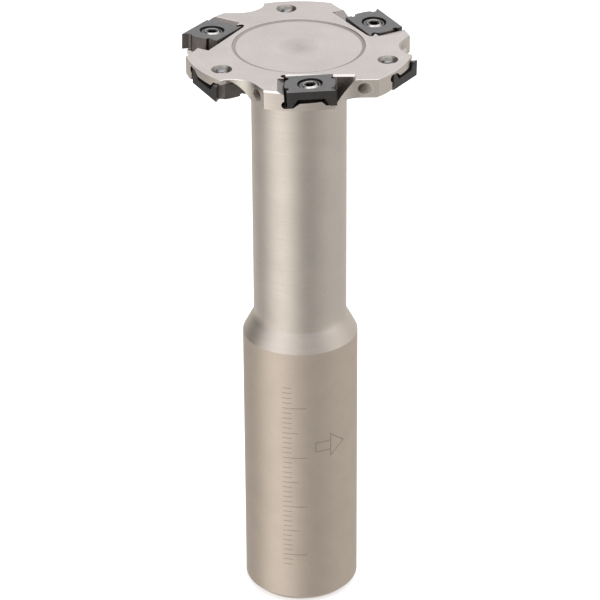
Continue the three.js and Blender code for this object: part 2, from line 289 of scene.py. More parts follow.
def mesh_piece(name, bm):
    bmesh.ops.recalc_face_normals(bm, faces=bm.faces[:])
    mesh = bpy.data.meshes.new(name)
    bm.to_mesh(mesh)
    bm.free()
    piece = bpy.data.objects.new(name, mesh)
    bpy.context.scene.collection.objects.link(piece)
    return piece


def ring_grid(name, rings):
    """A closed skin over rings of points; a ring of one point is an end on the axis."""
    bm = bmesh.new()
    rows = [[bm.verts.new(point) for point in ring] for ring in rings]
    steps = max(len(row) for row in rows)
    for low, high in zip(rows, rows[1:]):
        for i in range(steps):
            j = (i + 1) % steps
            corners = [low[i % len(low)], low[j % len(low)], high[j % len(high)], high[i % len(high)]]
            bm.faces.new(list(dict.fromkeys(corners)))
    return mesh_piece(name, bm)


def turned(name, profile, steps):
    """Turns a profile of (radius, z) points, both ends on the axis, about the z axis."""
    rings = []
    for radius, z in profile:
        count = steps if radius > 1e-6 else 1
        angles = [2 * math.pi * i / count for i in range(count)]
        rings.append([(radius * math.cos(a), radius * math.sin(a), z) for a in angles])
    return ring_grid(name, rings)


def prism(outline, low, high, put):
    """Pushes an outline from low to high; put turns (a, b, c) into x, y and z."""
    bm = bmesh.new()
    ends = [[bm.verts.new(put(a, b, c)) for a, b in outline] for c in (low, high)]
    count = len(outline)
    for i in range(count):
        j = (i + 1) % count
        bm.faces.new([ends[0][i], ends[0][j], ends[1][j], ends[1][i]])
    bm.faces.new(ends[0])
    bm.faces.new(ends[1][::-1])
    return mesh_piece("prism", bm)


def capped(bm, rings, name):
    """A closed skin over rings of corners, with a flat cap at both ends."""
    count = len(rings[0])
    for low, high in zip(rings, rings[1:]):
        for i in range(count):
            j = (i + 1) % count
            bm.faces.new([low[i], low[j], high[j], high[i]])
    bm.faces.new(rings[0][::-1])
    bm.faces.new(rings[-1])
    return mesh_piece(name, bm)


def flared(outline, low, high, flare):
    """An outline in x and distance from the axis, pushed up, and opening out at 45 degrees past
    low and high, so that it leaves a chamfer along both edges of what it cuts."""
    over = 0.2
    levels = [
        (low - over, flare + over),
        (low + flare, 0),
        (high - flare, 0),
        (high + over, flare + over),
    ]
    bm = bmesh.new()
    rings = []
    for z, distance in levels:
        points = grown(outline, distance) if distance else outline
        rings.append([bm.verts.new((x, -out, z)) for x, out in points])
    return capped(bm, rings, "flared")


def outwards(outline, low, high):
    """An outline in x and z, pushed outwards from the tool's axis."""
    return prism(outline, low, high, lambda a, b, c: (a, -c, b))


def upwards(outline, low, high):
    """An outline in x and distance from the axis, pushed up."""
    return prism(outline, low, high, lambda a, b, c: (a, -b, c))


def sideways(outline, low, high):
    """An outline in distance from the axis and z, pushed along x."""
    return prism(outline, low, high, lambda a, b, c: (c, -a, b))


def cut_with(target, tools):
    """Cuts target with each tool, one after the other; a cut face keeps its tool's material, and
    the tools are used up."""
    for tool in tools:
        cut = target.modifiers.new("cut", "BOOLEAN")
        cut.operation = "DIFFERENCE"
        cut.solver = "MANIFOLD"
        cut.material_mode = "TRANSFER"
        cut.object = tool
        apply_modifiers(target)
        bpy.data.objects.remove(tool)


def apply_modifiers(piece):
    depsgraph = bpy.context.evaluated_depsgraph_get()
    mesh = bpy.data.meshes.new_from_object(piece.evaluated_get(depsgraph))
    piece.modifiers.clear()
    piece.data = mesh


def joined(tools):
    """One object from tools that don't touch each other."""
    bm = bmesh.new()
    for tool in tools:
        bm.from_mesh(tool.data)
        bpy.data.objects.remove(tool)
    return mesh_piece("tools", bm)


def break_edges(piece, width):
    """Tidies a cut mesh, rounds its sharp edges and finishes it."""
    bm = bmesh.new()
    bm.from_mesh(piece.data)
    bmesh.ops.remove_doubles(bm, verts=bm.verts[:], dist=MERGE_DISTANCE)
    bmesh.ops.dissolve_degenerate(bm, edges=bm.edges[:], dist=COLLAPSE_DISTANCE)
    bmesh.ops.dissolve_limit(bm, angle_limit=math.radians(FLAT_WITHIN), verts=bm.verts[:],
                             edges=bm.edges[:], delimit={"MATERIAL"})
    bm.to_mesh(piece.data)
    bm.free()
    bevel = piece.modifiers.new("edge", "BEVEL")
    bevel.width = width
    bevel.segments = 2
    bevel.limit_method = "ANGLE"
    bevel.angle_limit = math.radians(BEVEL_FROM)
    bevel.use_clamp_overlap = False
    apply_modifiers(piece)
    finish_mesh(piece)


def finish_mesh(piece, angle=SHARP_FROM):
    """Smooth shading split at sharp edges, weighted by face area, and the piece in metres."""
    mesh = piece.data
    mesh.shade_smooth()
    mesh.set_sharp_from_angle(angle=math.radians(angle))
    weigh = piece.modifiers.new("weigh", "WEIGHTED_NORMAL")
    weigh.keep_sharp = True
    apply_modifiers(piece)
    piece.data.transform(Matrix.Scale(MM, 4))


def station(index):
    """Where a station sits: turned about the axis, and mirrored if it is set from below."""
    first, here = screw_places[0], screw_places[index]
    angle = math.atan2(here.y, here.x) - math.atan2(first.y, first.x)
    turn = Matrix.Rotation(angle, 4, "Z")
    if screw_joints[index]["axis"][2] > 0:
        return turn
    mirror = Matrix.Scale(-1, 4, UP)
    return turn @ Matrix.Translation((0, 0, 2 * MID_PLANE)) @ mirror


def seat(index):
    """Where the seat of a station sits: its place, leaning back about the leading top edge."""
    edge = Matrix.Translation((INSERT_LEAD, 0, insert_top))
    return station(index) @ edge @ Matrix.Rotation(-TILT, 4, "Y") @ edge.inverted()


def placed(tool, matrix):
    tool.data.transform(matrix)
    if matrix.determinant() < 0:
        tool.data.flip_normals()
    return tool


# ---------------------------------------------------------------- node helpers

class Graph:
    """A short way to write a node tree."""

    def __init__(self, tree):
        self.tree = tree
        tree.nodes.clear()

    def node(self, kind, inputs=None, **settings):
        made = self.tree.nodes.new(kind)
        for name, value in settings.items():
            setattr(made, name, value)
        for name, value in (inputs or {}).items():
            self.feed(made.inputs[name], value)
        return made

    def feed(self, socket, value):
        if isinstance(value, bpy.types.NodeSocket):
            self.tree.links.new(value, socket)
        else:
            socket.default_value = value

    def math(self, operation, a, b=0.0):
        return self.node("ShaderNodeMath", {0: a, 1: b}, operation=operation).outputs[0]

    def vector(self, operation, a, b=(0, 0, 0), scale=1.0):
        made = self.node("ShaderNodeVectorMath", {0: a, 1: b}, operation=operation)
        if operation == "SCALE":
            self.feed(made.inputs["Scale"], scale)
        return made.outputs["Value" if operation in ("DOT_PRODUCT", "LENGTH") else "Vector"]

    def noise(self, vector, scale, detail=2.0, roughness=0.5):
        made = self.node("ShaderNodeTexNoise", {"Vector": vector, "Scale": scale, "Detail": detail,
                                                "Roughness": roughness})
        return made.outputs["Fac"]

    def spread(self, value, low, high, out_low=0.0, out_high=1.0):
        made = self.node("ShaderNodeMapRange", {"Value": value, "From Min": low, "From Max": high,
                                                "To Min": out_low, "To Max": out_high})
        return made.outputs["Result"]

    def mix(self, factor, a, b):
        made = self.node("ShaderNodeMix", data_type="RGBA")
        self.feed(made.inputs["Factor"], factor)
        self.feed(made.inputs[6], a)
        self.feed(made.inputs[7], b)
        return made.outputs[2]

    def join(self, x, y, z):
        return self.node("ShaderNodeCombineXYZ", {"X": x, "Y": y, "Z": z}).outputs[0]

    def split(self, vector):
        return self.node("ShaderNodeSeparateXYZ", {"Vector": vector}).outputs

    def place(self):
        """Object coordinates in millimetres."""
        made = self.node("ShaderNodeTexCoord")
        return self.vector("SCALE", made.outputs["Object"], scale=1 / MM)


def material(name, colour):
    made = bpy.data.materials.new(name)
    made.use_nodes = True
    made.diffuse_color = (*colour, 1)
    return made, Graph(made.node_tree)


def finish_material(graph, inputs, height=None):
    """Principled shader with an optional bump height in millimetres, and worn sharp edges."""
    if height is not None:
        edge = graph.node("ShaderNodeBevel", {"Radius": EDGE_BREAK * MM}, samples=6)
        bump = graph.node("ShaderNodeBump", {"Height": height, "Strength": 1.0, "Distance": MM,
                                             "Normal": edge.outputs[0]})
        inputs["Normal"] = bump.outputs[0]
    shader = graph.node("ShaderNodeBsdfPrincipled", inputs)
    graph.node("ShaderNodeOutputMaterial", {"Surface": shader.outputs[0]})


def shade(colour, share):
    """The colour made darker or lighter, with its alpha."""
    return (*(min(1.0, c * share) for c in colour), 1)


def between(graph, value, low, high):
    return graph.math("MULTIPLY", graph.math("GREATER_THAN", value, low),
                      graph.math("LESS_THAN", value, high))


def arrow(graph, x, z, grow):
    """Where an arrow that points along +x lies, grown on every side by a distance."""
    tail, neck, tip = ARROW_ENDS
    off = graph.math("ABSOLUTE", graph.math("SUBTRACT", z, ARROW_HEIGHT))
    shaft = graph.math("MULTIPLY", between(graph, x, tail - grow, neck + grow),
                       graph.math("LESS_THAN", off, ARROW_SHAFT + grow))
    point = tip + ARROW_TIP_GROWTH * grow
    slope = graph.math("SUBTRACT", point, x)
    head = graph.math("MULTIPLY", between(graph, x, neck - grow, point),
                      graph.math("LESS_THAN", off, slope))
    return graph.math("MAXIMUM", shaft, head)


def etched_marks(graph, x, y, z):
    """Plain etched marks on the shank: a depth scale in millimetres, and an outlined arrow that
    shows which way the tool turns."""
    low, high = SCALE_SPAN
    total = None
    for step, length in SCALE_TICKS:
        phase = graph.math("FRACT", graph.math("ADD", graph.math("DIVIDE", z, step), 0.5))
        off = graph.math("ABSOLUTE", graph.math("SUBTRACT", phase, 0.5))
        tick = graph.math("MULTIPLY", graph.math("LESS_THAN", off, LINE_WIDTH / 2 / step),
                          between(graph, x, SCALE_LEFT, SCALE_LEFT + length))
        total = tick if total is None else graph.math("MAXIMUM", total, tick)
    scale = graph.math("MULTIPLY", total, between(graph, z, low - LINE_WIDTH, high + LINE_WIDTH))
    outline = graph.math("SUBTRACT", arrow(graph, x, z, LINE_WIDTH / 2),
                         arrow(graph, x, z, -LINE_WIDTH / 2))
    front = graph.math("LESS_THAN", y, 0.0)
    return graph.math("MULTIPLY", graph.math("MAXIMUM", scale, outline), front)


# Finishes. Nearly all of a noise's values lie between the low and the high one. A scale is how
# finely a noise varies per millimetre, a spread is how far the roughness goes either way, and
# lines hold two stretches and a scale.
NOISE_LOW = 0.3
NOISE_HIGH = 0.7
SPECK_SCALE = 4.5
CLOUD_SCALE = 0.22
SPOT_ABOVE = 103
SPOT_RADII = (5.0, 1.2)
SPOT_DARKNESS = 0.4
TURNED_SPREAD = 0.03
MILLED_LINES = (0.4, 5.0, 1.6)
MILLED_SPREAD = 0.05
GROUND_LINES = (7.0, 0.5, 1.3)
GROUND_SPREAD = 0.06


def steel(name, colour, roughness, lines, anisotropy, grain, marked=False):
    """Metal cut in rings about the tool's axis: fine turning lines, grain, faint mottling, and a
    darker spot in the middle of the disc's top."""
    made, graph = material(name, colour)
    place = graph.place()
    x, y, z = graph.split(place)
    radius = graph.math("SQRT", graph.math("ADD", graph.math("MULTIPLY", x, x),
                                           graph.math("MULTIPLY", y, y)))
    rings = graph.join(radius, z, 0.0)
    fine = graph.noise(rings, lines, 3.0, 0.6)
    coarse = graph.noise(rings, lines / 6, 2.0)
    speck = graph.noise(place, SPECK_SCALE, 2.0, 0.6)
    cloud = graph.noise(place, CLOUD_SCALE, 3.0)
    tone = graph.math("ADD", graph.math("MULTIPLY", speck, 0.5), graph.math("MULTIPLY", cloud, 0.5))
    tint = graph.mix(graph.spread(tone, 0.35, 0.65), shade(colour, 0.9), shade(colour, 1))
    near = graph.math("ADD", radius, graph.math("MULTIPLY", speck, 2.0))
    spot = graph.math("MULTIPLY", graph.spread(near, *SPOT_RADII),
                      graph.math("GREATER_THAN", z, SPOT_ABOVE))
    tint = graph.mix(graph.math("MULTIPLY", spot, SPOT_DARKNESS), tint, shade(colour, 0.45))
    if marked:
        marks = graph.math("MULTIPLY", etched_marks(graph, x, y, z), MARK_DARKNESS)
        tint = graph.mix(marks, tint, shade(colour, 0.3))
    rough = graph.math("ADD", graph.spread(fine, NOISE_LOW, NOISE_HIGH, -TURNED_SPREAD, TURNED_SPREAD),
                       graph.spread(coarse, NOISE_LOW, NOISE_HIGH, roughness - TURNED_SPREAD,
                                    roughness + TURNED_SPREAD))
    height = graph.math("ADD", graph.math("MULTIPLY", fine, grain),
                        graph.math("MULTIPLY", speck, grain * 0.7))
    tangent = graph.node("ShaderNodeTangent", direction_type="RADIAL", axis="Z").outputs[0]
    finish_material(graph, {"Base Color": tint, "Metallic": 1.0, "Roughness": rough,
                            "Anisotropic": anisotropy, "Tangent": tangent}, height)
    return made


def milled(name, colour, roughness, metallic=1.0):
    """Metal left by a milling cutter: fine level lines and grain."""
    made, graph = material(name, colour)
    place = graph.place()
    x, y, z = graph.split(place)
    level, upright, scale = MILLED_LINES
    lines = graph.noise(graph.join(graph.math("MULTIPLY", x, level), graph.math("MULTIPLY", y, level),
                                   graph.math("MULTIPLY", z, upright)), scale, 3.0, 0.6)
    speck = graph.noise(place, 5.0, 2.0, 0.6)
    tint = graph.mix(graph.spread(speck, NOISE_LOW, NOISE_HIGH), shade(colour, 0.88), shade(colour, 1))
    rough = graph.spread(lines, NOISE_LOW, NOISE_HIGH, roughness - MILLED_SPREAD,
                         roughness + MILLED_SPREAD)
    height = graph.math("ADD", graph.math("MULTIPLY", lines, 0.010),
                        graph.math("MULTIPLY", speck, 0.004))
    finish_material(graph, {"Base Color": tint, "Metallic": metallic, "Roughness": rough}, height)
    return made


def carbide(name, colour, roughness):
    """Dark coated carbide: fine grain, faint clouding, and ground lines across the flat faces."""
    made, graph = material(name, colour)
    place = graph.place()
    x, y, z = graph.split(place)
    across, along, scale = GROUND_LINES
    ground = graph.noise(graph.join(graph.math("MULTIPLY", graph.math("ADD", x, y), across),
                                    graph.math("MULTIPLY", graph.math("SUBTRACT", x, y), along),
                                    graph.math("MULTIPLY", z, along)), scale, 3.0, 0.6)
    speck = graph.noise(place, 9.0, 2.0, 0.7)
    cloud = graph.noise(place, 0.9, 2.0)
    tone = graph.math("ADD", graph.math("MULTIPLY", speck, 0.6), graph.math("MULTIPLY", cloud, 0.4))
    tint = graph.mix(graph.spread(tone, 0.35, 0.68), shade(colour, 1), shade(colour, 1.35))
    rough = graph.spread(ground, NOISE_LOW, NOISE_HIGH, roughness - GROUND_SPREAD,
                         roughness + GROUND_SPREAD)
    height = graph.math("ADD", graph.math("MULTIPLY", ground, 0.005),
                        graph.math("MULTIPLY", speck, 0.005))
    finish_material(graph, {"Base Color": tint, "Metallic": 0.9, "Roughness": rough}, height)
    return made


# ---------------------------------------------------------------- materials

turned_steel = steel("turned_steel", (0.81, 0.735, 0.685), 0.30, 9.0, 0.35, 0.004)
ground_steel = steel("ground_steel", (0.77, 0.665, 0.585), 0.47, 12.0, 0.15, 0.004, marked=True)
milled_steel = milled("milled_steel", (0.80, 0.74, 0.69), 0.30)
cone_steel = steel("cone_steel", (0.81, 0.715, 0.63), 0.30, 9.0, 0.35, 0.004)
# Darker copy of the turned steel: painted shade on the sloped edge band of the top's recess
painted_shade_step_steel = steel("painted_shade_step_steel", (0.47, 0.42, 0.385), 0.38, 9.0, 0.35, 0.004)
jet_steel = milled("jet_steel", (0.80, 0.72, 0.66), 0.45, 0.5)
# Darker steel: painted shade and a painted dark reflection in the scoop ahead of each insert, and
# painted shade on the bevel of the trailing wall
painted_shade_scoop_steel = milled("painted_shade_scoop_steel", (0.33, 0.295, 0.275), 0.34)
# Darker steel: painted shade inside the corner reliefs, the upright reliefs and the screw holes
painted_shade_hole_steel = milled("painted_shade_hole_steel", (0.36, 0.32, 0.29), 0.36)
coated_carbide = carbide("coated_carbide", (0.068, 0.064, 0.063), 0.38)
ground_carbide = carbide("ground_carbide", (0.185, 0.177, 0.174), 0.34)
rake_carbide = carbide("rake_carbide", (0.135, 0.118, 0.112), 0.36)
# Near-black steel: painted shade inside the screws' sockets
painted_shade_socket_steel = milled("painted_shade_socket_steel", (0.09, 0.085, 0.08), 0.4)
# Light steel: a painted highlight ring on the screw head round the socket
painted_highlight_steel = milled("painted_highlight_steel", (0.70, 0.66, 0.63), 0.24)
screw_steel = milled("screw_steel", (0.36, 0.345, 0.335), 0.22)


# ---------------------------------------------------------------- cutter body

def blank_profile():
    """Outside and bore in one line, from the top of the bore round to the middle of the disc."""
    tangent = CONE_BLEND * math.tan(CONE_ANGLE / 2)
    cone_end = SHANK_LENGTH + (SHANK_RADIUS - NECK_RADIUS) / math.tan(CONE_ANGLE)
    blend_top = cone_end + tangent
    floor = DISC_TOP - RECESS_DEPTH
    groove = RECESS_RADIUS - RECESS_EDGE
    b = EDGE_BREAK
    return [
        (0, FEED_END + FEED_RADIUS / math.tan(DRILL_POINT)),
        (FEED_RADIUS, FEED_END),
        (FEED_RADIUS, BORE_LENGTH + (BORE_RADIUS - FEED_RADIUS) / math.tan(DRILL_POINT)),
        (BORE_RADIUS, BORE_LENGTH),
        (BORE_RADIUS, BORE_CHAMFER),
        (BORE_RADIUS + BORE_CHAMFER, 0),
        (SHANK_RADIUS - SHANK_CHAMFER - b, 0),
        (SHANK_RADIUS - SHANK_CHAMFER + b, b),
        (SHANK_RADIUS - b, SHANK_CHAMFER - b),
        (SHANK_RADIUS, SHANK_CHAMFER + b),
        (SHANK_RADIUS, SHANK_LENGTH - b),
        (SHANK_RADIUS - b / 2, SHANK_LENGTH + b),
        *arc(NECK_RADIUS + CONE_BLEND, blend_top, CONE_BLEND,
             math.pi + CONE_ANGLE, math.pi, BLEND_STEPS),
        *arc(NECK_RADIUS + NECK_FILLET, DISC_BOTTOM - NECK_FILLET, NECK_FILLET,
             math.pi, math.pi / 2, FILLET_STEPS),
        (DISC_RADIUS - RIM_ROUND, DISC_BOTTOM),
        (DISC_RADIUS - RIM_ROUND_MIDDLE, DISC_BOTTOM + RIM_ROUND_MIDDLE),
        (DISC_RADIUS, DISC_BOTTOM + RIM_ROUND),
        (DISC_RADIUS, DISC_TOP - RIM_ROUND),
        (DISC_RADIUS - RIM_ROUND_MIDDLE, DISC_TOP - RIM_ROUND_MIDDLE),
        (DISC_RADIUS - RIM_ROUND, DISC_TOP),
        (RECESS_RADIUS + LIP_WIDTH, DISC_TOP),
        (RECESS_RADIUS, DISC_TOP - LIP_DROP),
        *((RECESS_RADIUS + out, floor + up) for out, up in RECESS_WALL),
        *((groove + out, floor + up) for out, up in RECESS_GROOVE),
        *((PIP_RADIUS * share, floor - PIP_DEPTH * down) for share, down in PIP_STEPS),
        (PIP_CENTRE, floor - PIP_DEPTH),
        (0, floor - PIP_DEPTH * 3),
    ]


def pocket_outline():
    """The pocket seen along the radius, with the low ridge under the insert's bridge."""
    top = SEAT_FLOOR + RIDGE_HEIGHT
    lid = insert_top + PAST
    return [
        (TRAILING_WALL, lid), (TRAILING_WALL, SEAT_FLOOR),
        (SCREW_X + RIDGE_FOOT[0], SEAT_FLOOR), (SCREW_X + RIDGE_TOP[0], top),
        (SCREW_X + RIDGE_TOP[1], top), (SCREW_X + RIDGE_FOOT[1], SEAT_FLOOR),
        (SCOOP_FOOT, SEAT_FLOOR), (SCOOP_FOOT, lid),
    ]


def gullet_outline():
    """The gullet in x and distance from the axis: a flat side, a round inner corner, and open
    outwards and ahead."""
    x, out = GULLET_CENTRE
    start = math.pi + math.acos((x - GULLET_EDGE) / GULLET_RADIUS)
    reach = DISC_RADIUS + 2 * PAST
    return [(GULLET_EDGE, reach), *arc(x, out, GULLET_RADIUS, start, 1.5 * math.pi, GULLET_STEPS),
            (reach, out - GULLET_RADIUS), (reach, reach)]


def station_tools():
    """The cuts of one station: a maker of a fresh tool, whether it leans with the seat, its finish; the
    wall bevel, the scoop and the holes get darker steel as painted shade.
    """
    far = 2 * DISC_RADIUS
    lid = DISC_TOP + PAST
    bevel_top = TRAILING_WALL - WALL_BEVEL_WIDTH
    bevel_foot = DISC_TOP - WALL_BEVEL_DEPTH
    past = TRAILING_WALL + GAP
    bevel = [(bevel_top, DISC_TOP), (TRAILING_WALL, bevel_foot), (past, bevel_foot),
             (past, lid), (bevel_top, lid)]
    edge = INNER_WALL + INNER_CHAMFER
    chamfer = [(INNER_WALL - INNER_CHAMFER, DISC_TOP), (INNER_WALL, DISC_TOP - INNER_CHAMFER),
               (edge, DISC_TOP - INNER_CHAMFER), (edge, lid), (INNER_WALL - INNER_CHAMFER, lid)]
    chamfer_end = SCOOP_FOOT + SCOOP_DEPTH - 5 * HAIR
    along, up = CORNER_PLACE
    relief = arc(INSERT_TRAIL + along, SEAT_FLOOR + up, CORNER_RELIEF, 0, 2 * math.pi, RELIEF_STEPS)
    along, out = UPRIGHT_PLACE
    upright = arc(INSERT_TRAIL + along, INNER_WALL + out, UPRIGHT_RELIEF, 0, 2 * math.pi, UPRIGHT_STEPS)
    scoop = [(SCOOP_EDGE, lid), (SCOOP_EDGE, DISC_TOP - SCOOP_DEPTH),
             (SCOOP_FOOT, DISC_TOP - SCOOP_DEPTH), (SCOOP_FOOT + SCOOP_DEPTH + PAST, lid)]
    return [
        (lambda: outwards(pocket_outline(), INNER_WALL, far), True, milled_steel),
        # Painted shade on the bevel along the top of the trailing wall
        (lambda: outwards(bevel, INSERT_INNER + WALL_BEVEL_WIDTH, far), False, painted_shade_scoop_steel),
        (lambda: sideways(chamfer, INSERT_TRAIL + CHAMFER_START, chamfer_end), False, milled_steel),
        # Painted shade in the two reliefs
        (lambda: outwards(relief[1:], INNER_WALL - HAIR, far), True, painted_shade_hole_steel),
        (lambda: upwards(upright[1:], SEAT_FLOOR + HAIR, insert_top + PAST), True, painted_shade_hole_steel),
        # Painted shade and a painted dark reflection in the scoop
        (lambda: outwards(scoop, INNER_WALL + HAIR, far), False, painted_shade_scoop_steel),
        (gullet_tool, False, milled_steel),
        (jet_tool, False, jet_steel),
        # Painted shade in the screw hole
        (screw_hole_tool, True, painted_shade_hole_steel),
        (rim_chamfer_tool, False, milled_steel),
    ]


def gullet_tool():
    return flared(gullet_outline(), DISC_BOTTOM, DISC_TOP, GULLET_CHAMFER)


def jet_tool():
    """Coolant hole from the gullet's flat to the bore on the axis."""
    out = GULLET_CENTRE[1] - GULLET_RADIUS
    length = math.hypot(JET_OFFSET, out) + PAST
    tool = turned("jet", [(0, 0), (JET_RADIUS, 0), (JET_RADIUS, length), (0, length)], HOLE_STEPS)
    turn = UP.rotation_difference(Vector((JET_OFFSET, -out, 0))).to_matrix().to_4x4()
    return placed(tool, Matrix.Translation((0, 0, MID_PLANE)) @ turn)


def screw_hole_tool():
    """Hole for the screw's thread, with a countersunk far mouth."""
    mouth = DISC_BOTTOM + INSERT_LENGTH / 2 * math.sin(TILT)
    radius = THREAD_RADIUS + THREAD_CLEARANCE
    tool = turned("thread", [
        (0, mouth - PAST), (MOUTH_RADIUS + PAST, mouth - PAST),
        (radius, mouth + MOUTH_RADIUS - THREAD_RADIUS),
        (radius, insert_top), (0, insert_top),
    ], HOLE_STEPS)
    return placed(tool, Matrix.Translation((SCREW_X, SCREW_Y, 0)))


def rim_chamfer_tool():
    """Chamfer on the rim behind the pocket: a wedge swept a short way round the rim."""
    inner, outer = DISC_RADIUS - RIM_CHAMFER, DISC_RADIUS + PAST
    section = [(inner, DISC_TOP), (outer, DISC_TOP - RIM_CHAMFER - PAST), (outer, DISC_TOP + PAST),
               (inner, DISC_TOP + PAST)]
    start, end = (math.asin((TRAILING_WALL + reach) / DISC_RADIUS) for reach in RIM_CHAMFER_REACH)
    bm = bmesh.new()
    rings = []
    for i in range(RIM_STEPS + 1):
        angle = start + (end - start) * i / RIM_STEPS
        rings.append([bm.verts.new((r * math.sin(angle), -r * math.cos(angle), z)) for r, z in section])
    return capped(bm, rings, "rim")


def make_body():
    body = turned("steel_body", blank_profile(), LATHE_STEPS)
    body.data.materials.append(turned_steel)
    wide, half = SHANK_RADIUS, FLAT_LENGTH / 2
    flat = prism([(-wide, -half), (wide, -half), (wide, half), (-wide, half)], FLAT_FROM_AXIS,
                 SHANK_RADIUS + PAST, lambda a, b, c: (a, c, FLAT_CENTRE + b))
    flat.data.materials.append(ground_steel)
    tools = [flat]
    for make, leaning, finish in station_tools():
        matrix = seat if leaning else station
        tool = joined([placed(make(), matrix(k)) for k in range(len(screw_places))])
        tool.data.materials.append(finish)
        tools.append(tool)
    cut_with(body, tools)
    slots = body.data.materials
    slots.append(painted_shade_step_steel)
    slots.append(cone_steel)
    turned_index = slots.find("turned_steel")
    step_middle = RECESS_RADIUS - RECESS_EDGE / 2
    for face in body.data.polygons:
        if face.material_index != turned_index:
            continue
        x, y, z = face.center
        from_step = abs(math.hypot(x, y) - step_middle)
        if z < SHANK_LENGTH:
            face.material_index = slots.find("ground_steel")
        elif z < SHANK_LENGTH + CONE_HEIGHT:
            face.material_index = slots.find("cone_steel")
        # Painted shade: faces on the recess's edge band take the darker copy of the turned steel
        elif z > DISC_TOP - RECESS_DEPTH * 1.2 and from_step < RECESS_EDGE / 2:
            face.material_index = slots.find("painted_shade_step_steel")
    finish_mesh(body)
    return body


# ---------------------------------------------------------------- inserts and screws

def make_insert(index):
    """Coated carbide with a ground top and foot, and a rake face at each cutting end. The bridge
    is the gap under its middle that clears the pocket's ridge."""
    outline = INSERT_END + [(-x, -y) for x, y in INSERT_END]
    plan = [(SCREW_X + x, y - SCREW_Y) for x, y in outline]
    insert = upwards(plan, INSERT_FOOT, insert_top)
    insert.data.materials.append(coated_carbide)
    insert.name = f"coated_insert_{index + 1}"
    bridge_top = insert_top - BRIDGE_HEIGHT
    slope = 1 / (INSERT_THICKNESS - BRIDGE_HEIGHT)
    feet = [foot + (foot - top) * slope for foot, top in zip(BRIDGE_FOOT, BRIDGE_TOP)]
    bridge = outwards([(SCREW_X + feet[0], INSERT_FOOT - PAST),
                       (SCREW_X + BRIDGE_TOP[0], bridge_top), (SCREW_X + BRIDGE_TOP[1], bridge_top),
                       (SCREW_X + feet[1], INSERT_FOOT - PAST)],
                      INSERT_INNER - PAST, INSERT_INNER + INSERT_BREADTH + PAST)
    hole = turned("hole", [(0, INSERT_FOOT - PAST), (HOLE_RADIUS, INSERT_FOOT - PAST),
                           (HOLE_RADIUS, insert_top - SINK_DEPTH), (SINK_RADIUS, insert_top - SINK_RIM),
                           (SINK_RADIUS, insert_top + PAST), (0, insert_top + PAST)],
                  INSERT_HOLE_STEPS)
    placed(hole, Matrix.Translation((SCREW_X, SCREW_Y, 0)))
    for tool in (bridge, hole):
        tool.data.materials.append(coated_carbide)
    cut_with(insert, [bridge, hole])
    slots = insert.data.materials
    slots.append(ground_carbide)
    slots.append(rake_carbide)
    for face in insert.data.polygons:
        at_end = abs(face.center.x - SCREW_X) > INSERT_LENGTH / 2 - RAKE_REACH
        if abs(face.normal.z) > GROUND_NORMAL:
            face.material_index = slots.find("ground_carbide")
        elif abs(face.normal.x) > RAKE_NORMAL and at_end:
            face.material_index = slots.find("rake_carbide")
    placed(insert, seat(index))
    break_edges(insert, INSERT_EDGE)
    return insert


def thread_ring(z, taper):
    """One ring of points on the threaded shank; taper runs the thread out to its root."""
    ring = []
    for i in range(SCREW_STEPS):
        share = i / SCREW_STEPS
        phase = (z / THREAD_PITCH - share) % 1
        crest = 1 - abs(2 * phase - 1)
        radius = THREAD_RADIUS - THREAD_DEPTH * (1 - min(1.0, crest * THREAD_CREST) * taper)
        angle = 2 * math.pi * share
        ring.append((radius * math.cos(angle), radius * math.sin(angle), z))
    return ring


def round_ring(radius, z, lobe=0.0):
    """One ring of points, with six lobes where a lobe height is given."""
    ring = []
    for i in range(SCREW_STEPS):
        angle = 2 * math.pi * i / SCREW_STEPS
        r = radius + lobe * math.cos(6 * angle)
        ring.append((r * math.cos(angle), r * math.sin(angle), z))
    return ring


def make_screw(index):
    """A screw skinned from its tip up over the head and down into its socket. At a mirrored
    station it is mirrored once more, so that its thread stays right-handed."""
    root = THREAD_RADIUS - THREAD_DEPTH
    thread_start = -SCREW_LENGTH + SCREW_TIP
    thread_length = -HEAD_RIM - HEAD_CONE - HEAD_NECK + SCREW_LENGTH - SCREW_TIP
    rings = [[(0, 0, -SCREW_LENGTH)], round_ring(root - SCREW_TIP, -SCREW_LENGTH)]
    for i in range(THREAD_ROWS + 1):
        taper = min(1.0, i / LEAD_IN_ROWS, (THREAD_ROWS - i) / RUN_OUT_ROWS)
        rings.append(thread_ring(thread_start + thread_length * i / THREAD_ROWS, taper))
    rings += [
        round_ring(root, -HEAD_RIM - HEAD_CONE),
        *(round_ring(radius, z) for radius, z in HEAD_OUTLINE),
        *(round_ring(radius, z, lobe) for radius, z, lobe in SOCKET_OUTLINE),
        [(0, 0, -SOCKET_DEPTH - SOCKET_POINT)],
    ]
    screw = ring_grid(f"clamp_screw_{index + 1}", rings)
    for finish in (screw_steel, painted_shade_socket_steel, painted_highlight_steel):
        screw.data.materials.append(finish)
    slots = screw.data.materials
    for face in screw.data.polygons:
        x, y, z = face.center
        radius = math.hypot(x, y)
        # Painted shade: the socket's walls take the near-black steel
        if radius < SOCKET_MOUTH and -SCREW_LENGTH / 2 < z < -SOCKET_LIP:
            face.material_index = slots.find("painted_shade_socket_steel")
        # Painted highlight: the head's ring round the socket takes the light steel
        elif SOCKET_MOUTH < radius < HIGHLIGHT_RING_RADIUS and z > -HIGHLIGHT_RING_DEPTH:
            face.material_index = slots.find("painted_highlight_steel")
    matrix = seat(index) @ Matrix.Translation((SCREW_X, SCREW_Y, insert_top - HEAD_SINK))
    if matrix.determinant() < 0:
        matrix = matrix @ Matrix.Scale(-1, 4, Vector((0, 1, 0)))
    placed(screw, matrix)
    finish_mesh(screw, SCREW_SHARP_FROM)
    return screw


